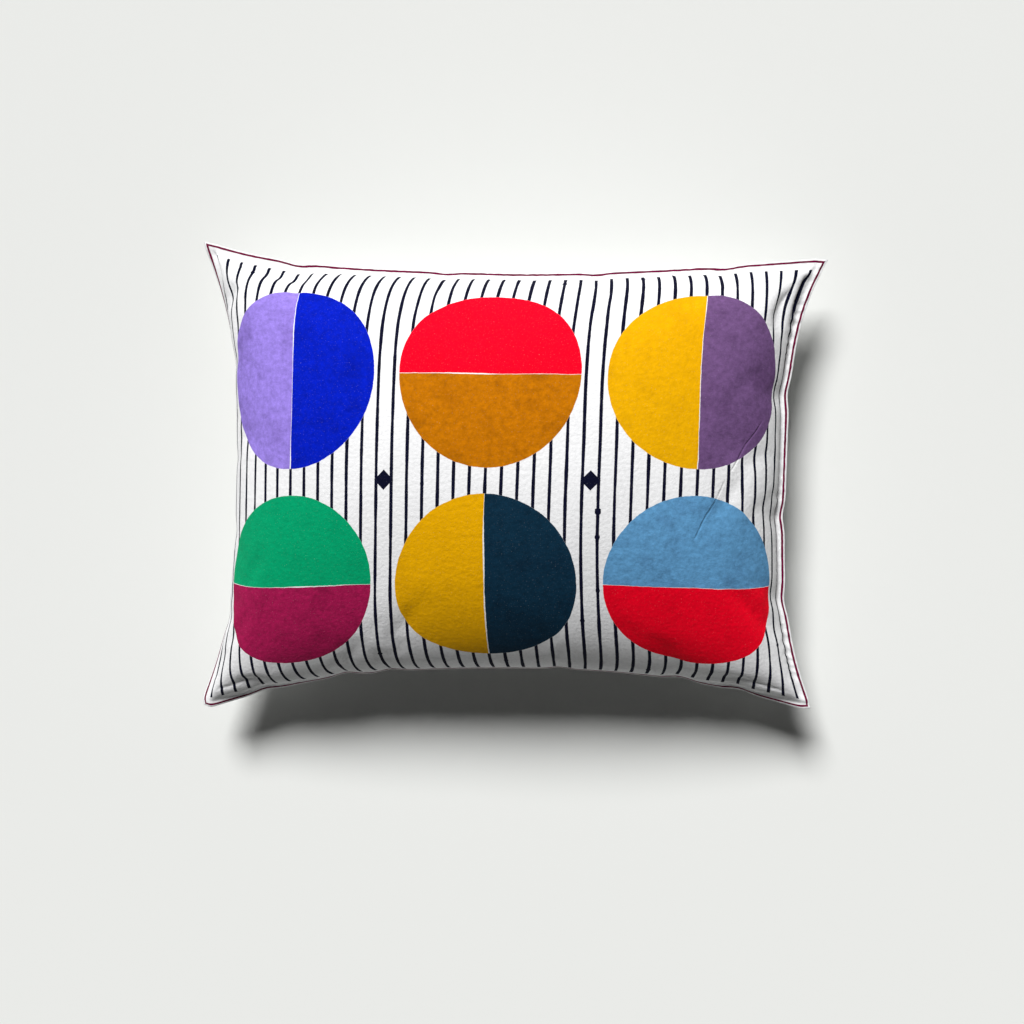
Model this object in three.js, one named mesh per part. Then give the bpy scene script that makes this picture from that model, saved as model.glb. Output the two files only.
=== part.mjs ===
// A plump rectangular cushion lying on its back: two cloth panels sewn edge to edge and filled.
// Millimetres, +Z up out of the printed face, +X along the long side.
// The origin is under the middle of the cushion, on the surface that it rests on.
import * as THREE from "three";
import { mergeGeometries, mergeVertices } from "three/addons/utils/BufferGeometryUtils.js";

// The cut size of each panel between its seams.
const PANEL_WIDTH = 600;
const PANEL_HEIGHT = 450;
// How far the filled panels stand away from the seam in the middle.
const FRONT_CROWN = 94;
const BACK_CROWN = 82;
// The part of the back crown that its own weight presses flat.
const PRESSED_FLAT = 9;
// 0.5 gives a round crown and 1 a flat lens.
const CROWN_POWER = 0.5;
// How much of a panel is used up on the steep left and right sides, and on the top and bottom ones.
// A higher power keeps that nearer to the seam.
const ROLL_ACROSS = { amount: 0.12, power: 8 };
const ROLL_UP = { amount: 0.18, power: 4 };
// How late, along a side, its roll and its hanging edge fade out towards the tips.
const TIP_FADE = 4;
// The seam allowance inside holds this much of each panel's edge nearly flat, at half this thickness.
const EDGE_WIDTH = 9;
const EDGE_LIFT = 1.4;
const LIFT_REACH = 4;

// How many cells each panel is divided into, and how much smaller they get towards its edge.
const COLUMNS = 60;
const ROWS = 46;
const CROWDING = 0.25;
const CROWDING_POWER = 4;
// Each cell is two triangles.
const CELL_CORNERS = 6;

const FRONT = 1;
const BACK = -1;
const UNDYED_COTTON = 0xf2f1ee;

// The four tips, in plan: droop is how far each hangs below the middle of the seam,
// and blunt is how much the turned-out tip is rounded off.
const CORNERS = {
  topLeft: { x: -294, y: 232, droop: 8, blunt: 2 },
  topRight: { x: 299.5, y: 208, droop: 16, blunt: 3 },
  bottomRight: { x: 291, y: -213.5, droop: 14, blunt: 6 },
  bottomLeft: { x: -308, y: -229, droop: 12, blunt: 10 },
};
const TIP_REACH = 10;
// How quickly the droop fades out along the cushion.
const DROOP_FADE = 3;

// How far the filling draws each side in between its tips. A higher power keeps
// the middle of the side straighter and turns the tip out more sharply.
// start is the left or bottom end of the side, and end is the right or top end.
// turn is how steeply the flat edge along the seam hangs down in the middle of the side, in degrees.
const SIDES = {
  top: {
    from: "topLeft", to: "topRight", inward: [0, -1],
    drawIn: 23.5, start: 4.0, end: 1.5, turn: 0,
  },
  bottom: {
    from: "bottomLeft", to: "bottomRight", inward: [0, 1],
    drawIn: 39.5, start: 2.4, end: 2.3, turn: 60,
  },
  left: {
    from: "bottomLeft", to: "topLeft", inward: [1, 0],
    drawIn: 33.5, start: 2.6, end: 2.7, turn: 75,
  },
  right: {
    from: "bottomRight", to: "topRight", inward: [-1, 0],
    drawIn: 34, start: 3.0, end: 3.8, turn: 0,
  },
};

// Soft rises and hollows of the filling, on the flat panel.
const LUMPS = [
  { x: -150, y: 60, reach: 90, rise: 3 },
  { x: 120, y: -70, reach: 80, rise: 3 },
  { x: 215, y: 40, reach: 60, rise: -4 },
  { x: -60, y: -120, reach: 70, rise: -3 },
  { x: 40, y: 120, reach: 70, rise: 2 },
];

// Puckers that both panels share, each a trough from its place on the seam into the panel.
const PUCKERS = [
  { x: -205, y: 225, toX: -190, toY: 176, width: 12, depth: 2.5 },
  { x: -58, y: 225, toX: -62, toY: 190, width: 10, depth: 1.5 },
  { x: 84, y: 225, toX: 88, toY: 188, width: 10, depth: 1.5 },
  { x: 205, y: 225, toX: 196, toY: 184, width: 11, depth: 2 },
  { x: 300, y: 92, toX: 254, toY: 82, width: 12, depth: 2.5 },
  { x: 300, y: -28, toX: 262, toY: -36, width: 10, depth: 2.5 },
  { x: 300, y: -112, toX: 258, toY: -98, width: 12, depth: 2.5 },
  { x: 232, y: -225, toX: 212, toY: -180, width: 11, depth: 3 },
  { x: 176, y: -225, toX: 160, toY: -172, width: 12, depth: 3 },
  { x: 60, y: -225, toX: 62, toY: -188, width: 10, depth: 2 },
  { x: -104, y: -225, toX: -96, toY: -176, width: 11, depth: 2.5 },
  { x: -150, y: -225, toX: -132, toY: -164, width: 12, depth: 3.5 },
  { x: -232, y: -225, toX: -216, toY: -186, width: 11, depth: 2.5 },
  { x: -300, y: -132, toX: -256, toY: -118, width: 13, depth: 2.5 },
  { x: -300, y: -48, toX: -262, toY: -46, width: 10, depth: 2.5 },
  { x: -300, y: 18, toX: -266, toY: 22, width: 11, depth: 1.5 },
  { x: -300, y: 112, toX: -258, toY: 104, width: 12, depth: 2 },
];

// Folds that lie in the printed panel alone, clear of the seam.
const FRONT_FOLDS = [
  { x: -276, y: 198, toX: -150, toY: 204, width: 9, depth: 6 },
  { x: -284, y: 156, toX: -258, toY: 190, width: 9, depth: 6 },
  { x: 270, y: 208, toX: 262, toY: 128, width: 11, depth: 9 },
  { x: 148, y: -204, toX: 278, toY: -200, width: 10, depth: 5 },
  { x: -274, y: -196, toX: -214, toY: -204, width: 10, depth: 5 },
  { x: 258, y: 44, toX: 176, toY: -62, width: 7, depth: 2 },
];
const SEAM_CLEAR = 14;
// A trough keeps its full depth over this share of its length.
const TROUGH_START = 0.1;
// A higher power makes a pucker's pull at the seam point more squarely out of its own side.
const OUTWARD_POWER = 5;

const mix = (a, b, share) => a + (b - a) * share;
const bump = (distance, reach) => Math.exp(-((distance / reach) ** 2));

/** A seam's point in plan at t, from -1 at the side's start to 1 at its end. */
function seamPoint(side, t) {
  const { from, to, inward, drawIn, start, end } = SIDES[side];
  const share = (t + 1) / 2;
  const pulled = drawIn * (1 - Math.abs(t) ** (t < 0 ? start : end));
  return ["x", "y"].map((axis, i) => mix(CORNERS[from][axis], CORNERS[to][axis], share) + inward[i] * pulled);
}

/** The plan of the cover: a surface patch stretched between its four seams. */
function planPoint(across, up) {
  const right = (across + 1) / 2;
  const top = (up + 1) / 2;
  const seams = {
    top: seamPoint("top", across),
    bottom: seamPoint("bottom", across),
    left: seamPoint("left", up),
    right: seamPoint("right", up),
  };
  return ["x", "y"].map((axis, i) => {
    const tips = mix(
      mix(CORNERS.bottomLeft[axis], CORNERS.bottomRight[axis], right),
      mix(CORNERS.topLeft[axis], CORNERS.topRight[axis], right),
      top,
    );
    return mix(seams.bottom[i], seams.top[i], top) + mix(seams.left[i], seams.right[i], right) - tips;
  });
}

/** A value that each tip has in full and that fades out along the cushion. */
function fromTips(across, up, key) {
  const share = (sx, sy) => (((1 + sx * across) / 2) * ((1 + sy * up) / 2)) ** DROOP_FADE;
  return (
    CORNERS.topLeft[key] * share(-1, 1) +
    CORNERS.topRight[key] * share(1, 1) +
    CORNERS.bottomRight[key] * share(1, -1) +
    CORNERS.bottomLeft[key] * share(-1, -1)
  );
}

/** How deep a trough is at a point of the flat panel: full at its start, nothing at its end. */
function troughDepth({ x, y, toX, toY, width, depth }, px, py) {
  const [alongX, alongY] = [toX - x, toY - y];
  const length = Math.hypot(alongX, alongY);
  const along = ((px - x) * alongX + (py - y) * alongY) / length ** 2;
  const beside = ((px - x) * alongY - (py - y) * alongX) / length;
  const past = Math.max(0, -along, along - 1) * length;
  const fade = 1 - THREE.MathUtils.smoothstep(along, TROUGH_START, 1);
  return depth * fade * bump(beside, width) * bump(past, width);
}

/** A fold that is deepest in its middle. */
function foldDepth(fold, px, py) {
  const { x, y, toX, toY } = fold;
  const middle = { ...fold, x: (x + toX) / 2, y: (y + toY) / 2 };
  const forward = troughDepth(middle, px, py);
  const backward = troughDepth({ ...middle, toX: x, toY: y }, px, py);
  return Math.max(forward, backward);
}

const sum = (rows, value) => rows.reduce((total, row) => total + value(row), 0);

/** Splits a place on the flat panel into its share of the filled body and its share of the flat edge. */
function bodyShare(place, half) {
  const body = half - EDGE_WIDTH;
  const share = Math.min(1, Math.abs(place) / body) * Math.sign(place);
  const edge = Math.max(0, Math.abs(place) - body) * Math.sign(place);
  return [share, edge / half, body / half];
}

/** Whole in the middle of a side and nothing at its tips. */
const awayFromTips = (share) => 1 - share ** TIP_FADE;

/** Moves a share of the body towards its steep sides, less so at the ends of those sides. */
const rolled = (share, other, { amount, power }) =>
  share * (1 + amount * (1 - share ** power) * awayFromTips(other));

/** How steeply the edge at a place beyond the body hangs: the turn of its own side, less so at the tips. */
function edgeTurn(place, low, high, other) {
  const side = place < 0 ? low : high;
  return THREE.MathUtils.degToRad(SIDES[side].turn) * awayFromTips(other);
}

/** Where the filled cover puts the point (x, y) of a flat panel. */
function clothPoint(x, y, side) {
  const [u, edgeX, bodyX] = bodyShare(x, PANEL_WIDTH / 2);
  const [v, edgeY, bodyY] = bodyShare(y, PANEL_HEIGHT / 2);
  const across = rolled(u, v, ROLL_ACROSS);
  const up = rolled(v, u, ROLL_UP);
  const rise = Math.max(0, (1 - across ** 2) * (1 - up ** 2)) ** CROWN_POWER;
  const turnX = edgeTurn(x, "left", "right", v);
  const turnY = edgeTurn(y, "bottom", "top", u);
  const [planX, planY] = planPoint(
    across * bodyX + edgeX * Math.cos(turnX),
    up * bodyY + edgeY * Math.cos(turnY),
  );
  const dropX = Math.abs(edgeX) * (PANEL_WIDTH / 2) * Math.sin(turnX);
  const dropY = Math.abs(edgeY) * (PANEL_HEIGHT / 2) * Math.sin(turnY);

  const lump = sum(LUMPS, (row) => row.rise * bump(Math.hypot(x - row.x, y - row.y), row.reach)) * rise;
  const swell = side === FRONT ? FRONT_CROWN * rise + lump : BACK_CROWN * rise;

  // Troughs pull the cloth straight down on the crown, and inwards at the seam.
  const fromSeam = Math.min(PANEL_WIDTH / 2 - Math.abs(x), PANEL_HEIGHT / 2 - Math.abs(y));
  const crown = swell + EDGE_LIFT * THREE.MathUtils.smoothstep(fromSeam, 0, LIFT_REACH);
  const clear = THREE.MathUtils.smoothstep(fromSeam, 0, SEAM_CLEAR);
  const folds = side === FRONT ? clear * sum(FRONT_FOLDS, (row) => foldDepth(row, x, y)) : 0;
  const pulled = folds + sum(PUCKERS, (row) => troughDepth(row, x, y));
  const flatness = Math.sqrt(rise);
  const outward = new THREE.Vector2(across ** OUTWARD_POWER, up ** OUTWARD_POWER);
  outward.normalize().multiplyScalar(1 - flatness);

  // The tips are turned out from inside, so they end round.
  const fromTip = Math.hypot(PANEL_WIDTH / 2 - Math.abs(x), PANEL_HEIGHT / 2 - Math.abs(y));
  const blunt = bump(fromTip, TIP_REACH) * fromTips(across, up, "blunt") * Math.SQRT1_2;

  return [
    planX - outward.x * pulled - Math.sign(x) * blunt,
    planY - outward.y * pulled - Math.sign(y) * blunt,
    side * (crown - flatness * pulled) - fromTips(across, up, "droop") - dropX - dropY,
  ];
}

/** Turns the diagonal of each cell towards its tip, so that no tip is a flap without thickness. */
function turnDiagonals(geometry) {
  const place = geometry.getAttribute("position");
  const index = geometry.index.array;
  for (let cell = 0; cell < index.length; cell += CELL_CORNERS) {
    const [topLeft, bottomLeft, topRight, , bottomRight] = index.subarray(cell, cell + CELL_CORNERS);
    const middleX = place.getX(topLeft) + place.getX(bottomRight);
    const middleY = place.getY(topLeft) + place.getY(bottomRight);
    if (middleX * middleY < 0) {
      index.set([topLeft, bottomLeft, bottomRight, topLeft, bottomRight, topRight], cell);
    }
  }
}

/** Moves a grid line from its even share, -1 to 1, nearer to the edge. */
const towardsEdge = (share) => share * (1 + CROWDING) - CROWDING * share ** CROWDING_POWER * Math.sign(share);

/** One panel of the cover: a flat grid of cloth, moved to where the filling holds it. */
function panel(side) {
  const geometry = new THREE.PlaneGeometry(2, 2, COLUMNS, ROWS);
  geometry.deleteAttribute("normal");
  geometry.deleteAttribute("uv");
  turnDiagonals(geometry);
  const place = geometry.getAttribute("position");
  for (let i = 0; i < place.count; i += 1) {
    const x = towardsEdge(place.getX(i)) * (PANEL_WIDTH / 2);
    const y = towardsEdge(place.getY(i)) * (PANEL_HEIGHT / 2);
    place.setXYZ(i, ...clothPoint(x, y, side));
  }
  if (side === BACK) geometry.index.array.reverse();
  return geometry;
}

/** Lays the closed cover on its back: the lowest part of the back is pressed flat at z = 0. */
function layDown(geometry) {
  geometry.computeBoundingBox();
  const { min, max } = geometry.boundingBox;
  const floor = min.z + PRESSED_FLAT;
  geometry.translate(-(min.x + max.x) / 2, -(min.y + max.y) / 2, -floor);
  const place = geometry.getAttribute("position");
  for (let i = 0; i < place.count; i += 1) {
    place.setZ(i, Math.max(0, place.getZ(i)));
  }
  return geometry;
}

function cushion() {
  const cover = mergeVertices(mergeGeometries([panel(FRONT), panel(BACK)]));
  const cotton = new THREE.MeshStandardMaterial({ color: UNDYED_COTTON, roughness: 0.9, metalness: 0 });
  const mesh = new THREE.Mesh(layDown(cover), cotton);
  mesh.name = "cushion";
  return mesh;
}

const part = new THREE.Group();
part.add(cushion());
export default part;
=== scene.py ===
"""A plump printed cotton cushion, lying on its back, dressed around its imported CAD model.

The cover is two flat panels sewn edge to edge. It is set up in the shape that the filling gives it, and
Blender's cloth then settles it against its flat pattern, so that the print, the puckers and the folds follow
the cloth. All sizes are in metres, +Z points out of the printed face, and +X runs along the long side.
"""

import logging
import math
from dataclasses import dataclass
from enum import Enum
from functools import cache
from typing import Sequence

import bmesh
import bpy
import numpy as np
from mathutils import Matrix, Vector


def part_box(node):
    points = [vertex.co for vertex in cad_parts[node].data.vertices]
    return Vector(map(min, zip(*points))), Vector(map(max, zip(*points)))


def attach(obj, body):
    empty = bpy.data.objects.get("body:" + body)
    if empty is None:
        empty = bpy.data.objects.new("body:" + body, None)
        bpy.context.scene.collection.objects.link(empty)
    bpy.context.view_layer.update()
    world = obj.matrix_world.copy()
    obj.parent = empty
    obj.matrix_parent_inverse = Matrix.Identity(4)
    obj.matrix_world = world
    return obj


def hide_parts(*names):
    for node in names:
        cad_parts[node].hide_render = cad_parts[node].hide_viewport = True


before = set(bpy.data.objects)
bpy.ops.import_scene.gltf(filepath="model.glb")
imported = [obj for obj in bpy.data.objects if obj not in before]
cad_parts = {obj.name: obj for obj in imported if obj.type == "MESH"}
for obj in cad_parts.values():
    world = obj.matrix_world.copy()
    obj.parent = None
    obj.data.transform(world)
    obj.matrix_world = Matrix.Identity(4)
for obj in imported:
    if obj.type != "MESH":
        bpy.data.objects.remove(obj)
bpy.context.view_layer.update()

LOG = logging.getLogger("cushion")
CAD_NODE = "cushion"
BODY = "root"

# The cover's own maps and attributes.
PANEL_MAP = "cut_panel"
BAKE_MAP = "OFBake"
PANEL_PLACE = "panel_place"
# The areas of the bake map that the panels take up: left, bottom, width and height.
BAKE_FRONT = (0.01, 0.29, 0.98, 0.70)
BAKE_BACK = (0.01, 0.01, 0.98, 0.27)
# Lengths under this count as none.
SAME = 1e-6
# Shares under this are too small to divide by.
NO_WAY = 1e-9
# How far an edge of the print runs from full ink to bare cloth, either way.
SOFT_EDGE = 0.0002

Socket = bpy.types.NodeSocket
Value = bpy.types.NodeSocket | float | Sequence[float]
Colour = tuple[float, float, float]
Points = np.ndarray

# A Mix node has a set of sockets for each kind of data. These are the numbers of those for colours.
MIX_COLOUR_SOCKETS = (0, 6, 7)
MIX_COLOUR_RESULT = 2


class Panel(Enum):
    """The two panels of the cover, each with the side of the seam that it stands on."""

    FRONT = 1
    BACK = -1


def smooth_step(value: Points, low: float, high: float) -> Points:
    """Rises smoothly from 0 at low to 1 at high.

    Args:
        value: The numbers to read.
        low: Where the rise starts.
        high: Where the rise ends.

    Returns:
        A share from 0 to 1 for each number.
    """
    share = np.clip((value - low) / (high - low), 0.0, 1.0)
    return share * share * (3.0 - 2.0 * share)


def read_points(mesh: bpy.types.Mesh) -> Points:
    """Reads the places of a mesh's points.

    Args:
        mesh: The mesh to read.

    Returns:
        A row of x, y and z for each point.
    """
    flat = np.zeros(len(mesh.vertices) * 3)
    mesh.vertices.foreach_get("co", flat)
    return flat.reshape(-1, 3)


def write_points(mesh: bpy.types.Mesh, points: Points) -> None:
    """Moves a mesh's points to the given places."""
    mesh.vertices.foreach_set("co", points.astype(np.float32).ravel())
    mesh.update()


def read_attribute(mesh: bpy.types.Mesh, name: str) -> Points:
    """Reads a vector attribute of a mesh's points.

    Args:
        mesh: The mesh to read.
        name: The attribute's name.

    Returns:
        A row for each point.
    """
    flat = np.zeros(len(mesh.vertices) * 3)
    mesh.attributes[name].data.foreach_get("vector", flat)
    return flat.reshape(-1, 3)


def blurred(grid: Points, reach: float) -> Points:
    """Smooths a grid of values along its rows and its columns.

    Args:
        grid: The values, by row, column and axis.
        reach: How far the smoothing reaches, in cells.

    Returns:
        The smoothed grid. Past its edge, the grid goes on as its edge value.
    """
    half = math.ceil(reach * 2.5)
    weights = bump(np.arange(-half, half + 1), reach)
    weights /= weights.sum()
    for axis in (0, 1):
        margin = [(half, half) if axis == along else (0, 0) for along in range(3)]
        padded = np.pad(grid, margin, mode="edge")
        shifted = (np.take(padded, range(k, k + grid.shape[axis]), axis) for k in range(len(weights)))
        grid = sum(weight * part for weight, part in zip(weights, shifted))
    return grid


def bump(distance: Points, reach: float) -> Points:
    """A soft bump: 1 at no distance, fading over reach."""
    return np.exp(-((distance / reach) ** 2))


def waves(along: Points, rows: Sequence[tuple[float, float, float]]) -> Points:
    """The sum of waves along a line, each given by its height, its turn in a metre and its start."""
    return sum(height * np.sin(along * turn + start) for height, turn, start in rows)


def linear(red: int, green: int, blue: int) -> Colour:
    """Turns a screen colour of 0 to 255 into the linear colour that shaders use."""
    shares = (channel / 255.0 for channel in (red, green, blue))
    return tuple(s / 12.92 if s <= 0.04045 else ((s + 0.055) / 1.055) ** 2.4 for s in shares)


# How unevenly the inks lie on the cloth, from 0 to 1.
EVEN_INK = 0.26
CLOUDY_INK = 0.62


class Ink(Enum):
    """The inks of the print, as screen colours."""

    LILAC = (146, 124, 212)
    RED = (240, 0, 34)
    YELLOW = (226, 166, 0)
    GREEN = (0, 156, 104)
    MAROON = (158, 22, 75)
    BLUE = (0, 26, 178)
    PLUM = (108, 78, 123)
    OCHRE = (184, 108, 0)
    NAVY = (12, 44, 64)
    STEEL = (93, 150, 194)
    LINE = (10, 12, 36)
    BORDER = (104, 8, 52)

    @property
    def mottle(self) -> float:
        """How unevenly the ink lies: the strong warm inks and the green cover best."""
        return EVEN_INK if self in (Ink.RED, Ink.YELLOW, Ink.GREEN) else CLOUDY_INK

    @property
    def linear(self) -> tuple[float, float, float, float]:
        """The ink as a shader colour, with its mottle in place of the opacity."""
        return (*linear(*self.value), self.mottle)


class Graph:
    """A node tree, with short calls that add nodes and join them."""

    def __init__(self, tree: bpy.types.NodeTree) -> None:
        """Takes the tree that the nodes go into."""
        self.tree = tree

    def put(self, value: Value, into: Socket) -> None:
        """Links a socket into another, or sets the other to a plain value."""
        if isinstance(value, bpy.types.NodeSocket):
            self.tree.links.new(value, into)
        else:
            into.default_value = value

    def node(self, kind: str, inputs: dict[str | int, Value], **settings: object) -> bpy.types.Node:
        """Adds a node.

        Args:
            kind: The node's type, without the words that all shader nodes start with.
            inputs: What goes into its sockets, by name or number.
            settings: The node's own settings.

        Returns:
            The node.
        """
        made = self.tree.nodes.new("ShaderNode" + kind)
        for name, setting in settings.items():
            setattr(made, name, setting)
        for name, value in inputs.items():
            self.put(value, made.inputs[name])
        return made

    def math(self, operation: str, *values: Value) -> Socket:
        """Adds a Math node and returns its value."""
        return self.node("Math", dict(enumerate(values)), operation=operation).outputs[0]

    def vector(self, operation: str, *values: Value) -> Socket:
        """Adds a Vector Math node and returns its vector."""
        return self.node("VectorMath", dict(enumerate(values)), operation=operation).outputs["Vector"]

    def length(self, vector: Socket) -> Socket:
        """The length of a vector."""
        return self.node("VectorMath", {0: vector}, operation="LENGTH").outputs["Value"]

    def dot(self, first: Value, second: Value) -> Socket:
        """The dot product of two vectors."""
        return self.node("VectorMath", {0: first, 1: second}, operation="DOT_PRODUCT").outputs["Value"]

    def parts(self, vector: Socket) -> tuple[Socket, Socket]:
        """The x and y of a vector."""
        outputs = self.node("SeparateXYZ", {0: vector}).outputs
        return outputs["X"], outputs["Y"]

    def join(self, x: Value, y: Value) -> Socket:
        """A level vector of x and y."""
        return self.node("CombineXYZ", {0: x, 1: y}).outputs[0]

    def ramp(self, value: Socket, low: Value, high: Value) -> Socket:
        """A smooth rise from 0 at low to 1 at high, or a fall where low is above high."""
        inputs = {"Value": value, "From Min": low, "From Max": high}
        return self.node("MapRange", inputs, interpolation_type="SMOOTHSTEP").outputs["Result"]

    def noise(self, place: Socket, scale: Value, detail: float = 2.0, grain: float = 0.5) -> Socket:
        """Soft noise from about 0 to 1, with scale features to the metre. More grain makes it sharper."""
        inputs = {"Vector": place, "Scale": scale, "Detail": detail, "Roughness": grain}
        return self.node("TexNoise", inputs).outputs["Fac"]

    def swing(
        self, place: Socket, scale: Value, size: Value, detail: float = 2.0, grain: float = 0.5
    ) -> Socket:
        """Soft noise that swings by about size either way."""
        either_way = self.math("MULTIPLY_ADD", self.noise(place, scale, detail, grain), 2.0, -1.0)
        return self.math("MULTIPLY", either_way, size)

    def scaled(self, vector: Value, size: Value) -> Socket:
        """A vector or colour, made size times as large."""
        return self.node("VectorMath", {0: vector, "Scale": size}, operation="SCALE").outputs["Vector"]

    def mix(self, share: Value, under: Value, over: Value) -> Socket:
        """Mixes two colours.

        Args:
            share: How much of the second colour is in the mix, from 0 to 1.
            under: The first colour.
            over: The second colour.

        Returns:
            The mixed colour.
        """
        made = self.tree.nodes.new("ShaderNodeMix")
        made.data_type = "RGBA"
        share_in, under_in, over_in = (made.inputs[number] for number in MIX_COLOUR_SOCKETS)
        self.put(share, share_in)
        self.put(under, under_in)
        self.put(over, over_in)
        return made.outputs[MIX_COLOUR_RESULT]

    def place(self, effect: "Effect", **inputs: Value) -> dict[str, Socket]:
        """Places an effect group.

        Args:
            effect: The effect.
            inputs: What goes into its sockets, by name.

        Returns:
            Its outputs by name.
        """
        made = self.tree.nodes.new("ShaderNodeGroup")
        made.node_tree = effect.tree
        for name, value in inputs.items():
            self.put(value, made.inputs[name])
        return {output.name: output for output in made.outputs}


class Effect(Graph):
    """A shader node group with named inputs and outputs."""

    def __init__(self, name: str, inputs: dict[str, str], outputs: dict[str, str]) -> None:
        """Makes the group and its sockets.

        Args:
            name: The group's name.
            inputs: The kind of each input, by name.
            outputs: The kind of each output, by name.
        """
        super().__init__(bpy.data.node_groups.new(name, "ShaderNodeTree"))
        for direction, sockets in (("INPUT", inputs), ("OUTPUT", outputs)):
            for label, kind in sockets.items():
                self.tree.interface.new_socket(label, in_out=direction, socket_type="NodeSocket" + kind)
        self.given = self.tree.nodes.new("NodeGroupInput").outputs
        self.result = self.tree.nodes.new("NodeGroupOutput").inputs


@cache
def canvas_weave() -> Effect:
    """Plain-woven canvas: uneven threads that pass over and under each other.

    Returns:
        A group that takes a Place in metres, the Pitch of the threads and their Slub, and gives a Height
        and the Gap between threads, each from 0 to 1.
    """
    made = Effect(
        "canvas_weave",
        {"Place": "Vector", "Pitch": "Float", "Slub": "Float"},
        {"Height": "Float", "Gap": "Float"},
    )
    wander_share, wander_scale = 0.22, 260.0
    across_scale, along_scale = 900.0, 45.0
    thickness, lift = 0.62, 0.30
    gap_top, gap_bottom = 0.42, 0.12
    place, pitch, slub = (made.given[name] for name in ("Place", "Pitch", "Slub"))
    # Each thread wanders a little along its way.
    wander = made.math("MULTIPLY", pitch, wander_share)
    x, y = made.parts(place)
    x = made.math("ADD", x, made.swing(place, wander_scale, wander))
    y = made.math("ADD", y, made.swing(made.vector("ADD", place, (0.37, 0.11, 0.0)), wander_scale, wander))
    warp_turn = made.math("MULTIPLY", made.math("DIVIDE", x, pitch), math.pi)
    weft_turn = made.math("MULTIPLY", made.math("DIVIDE", y, pitch), math.pi)
    warp_wave, weft_wave = made.math("SINE", warp_turn), made.math("SINE", weft_turn)

    # A thread is thicker where its own noise is high: the noise is long along the thread and short across it.
    heights = []
    for across, along, wave, other, side in (
        (x, y, warp_wave, weft_wave, 1.0),
        (y, x, weft_wave, warp_wave, -1.0),
    ):
        strand = made.join(
            made.math("MULTIPLY", across, across_scale), made.math("MULTIPLY", along, along_scale)
        )
        thick = made.math("ADD", made.swing(strand, 1.0, slub), thickness)
        body = made.math("MULTIPLY", made.math("ABSOLUTE", wave), thick)
        over = made.math("MULTIPLY", made.math("MULTIPLY", made.math("SIGN", wave), other), lift * side)
        heights.append(made.math("ADD", body, over))
    height = made.math("MAXIMUM", *heights)
    made.put(height, made.result["Height"])
    made.put(made.ramp(height, gap_top, gap_bottom), made.result["Gap"])
    return made


@cache
def ruled_lines() -> Effect:
    """Upright lines ruled by hand: their thickness swells, and their edges are a little rough.

    Returns:
        A group that takes a Place, a Pitch, a Thickness and a Wobble in metres, and gives a Mask.
    """
    made = Effect(
        "ruled_lines",
        {"Place": "Vector", "Pitch": "Float", "Thickness": "Float", "Wobble": "Float"},
        {"Mask": "Float"},
    )
    place, pitch, thickness, wobble = (made.given[n] for n in ("Place", "Pitch", "Thickness", "Wobble"))
    edge_roughness, edge_softness = 0.00028, 0.00018
    x, y = made.parts(place)
    strayed = made.math("ADD", x, made.swing(place, 9.0, wobble))
    turns = made.math("ADD", made.math("DIVIDE", strayed, pitch), 0.5)
    number = made.math("FLOOR", turns)
    off = made.math("ABSOLUTE", made.math("SUBTRACT", made.math("FRACT", turns), 0.5))
    distance = made.math("MULTIPLY", off, pitch)

    # Each line has its own swellings, and here and there a blob of ink.
    own = made.join(made.math("MULTIPLY", number, 3.7), made.math("MULTIPLY", y, 34.0))
    swell = made.math("MULTIPLY_ADD", made.noise(own, 1.0, 3.0), 0.9, 0.55)
    blob = made.math("MULTIPLY", made.ramp(made.noise(own, 2.6, 1.0), 0.70, 0.80), 0.8)
    half = made.math("MULTIPLY", thickness, made.math("MULTIPLY", made.math("ADD", swell, blob), 0.5))
    rough = made.swing(place, 850.0, edge_roughness)
    edge = made.math("ADD", distance, rough)
    inner = made.math("SUBTRACT", half, edge_softness)
    outer = made.math("ADD", half, edge_softness)
    made.put(made.ramp(edge, outer, inner), made.result["Mask"])
    return made


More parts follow.
